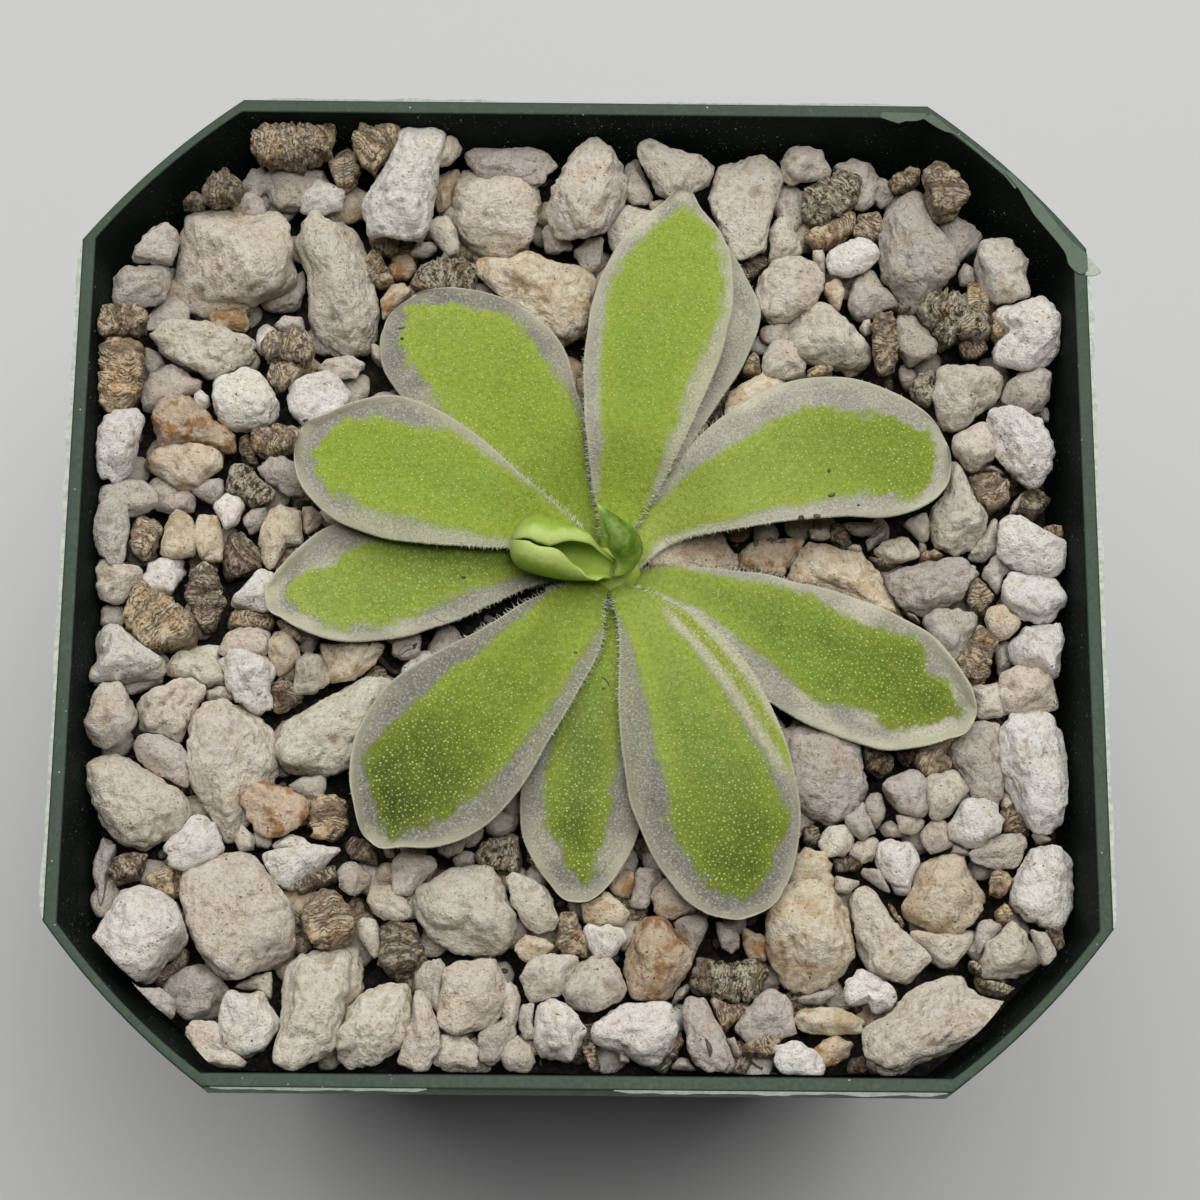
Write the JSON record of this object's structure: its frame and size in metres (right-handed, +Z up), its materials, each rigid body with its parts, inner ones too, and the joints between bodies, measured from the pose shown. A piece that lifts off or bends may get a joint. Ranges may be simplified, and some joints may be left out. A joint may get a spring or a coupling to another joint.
{
  "type": "potted butterwort",
  "caption": "Rosette butterwort with cupped green leaves and clear pale margins, growing in pumice in a square plastic nursery pot.",
  "frame": {"origin": "bottom centre of the pot, on the face that it rests on", "axes": "+Z up out of the pot, -Y towards the side of the rim nearest the camera in the picture, +X to the picture's right"},
  "size_m": [0.089, 0.089, 0.08],
  "materials": {
    "pot_plastic": "satin dark green moulded plastic",
    "growing_mix": "rough pumice and vermiculite",
    "leaf": "soft moist leaf with sticky glands and a translucent margin",
    "young_leaf": "soft pale green young leaf"
  },
  "bodies": {
    "root": {"pot": "pot_plastic", "growing_mix": "growing_mix", "crown": "young_leaf", "leaf_north": "leaf", "leaf_north_under": "leaf", "leaf_northwest": "leaf", "leaf_west": "leaf", "leaf_west_under": "leaf", "leaf_southwest": "leaf", "leaf_south_under": "leaf", "leaf_south": "leaf", "leaf_east_under": "leaf", "leaf_east": "leaf", "leaf_young_rolled": "young_leaf", "leaf_young_pointed": "young_leaf"}
  },
  "joints": []
}
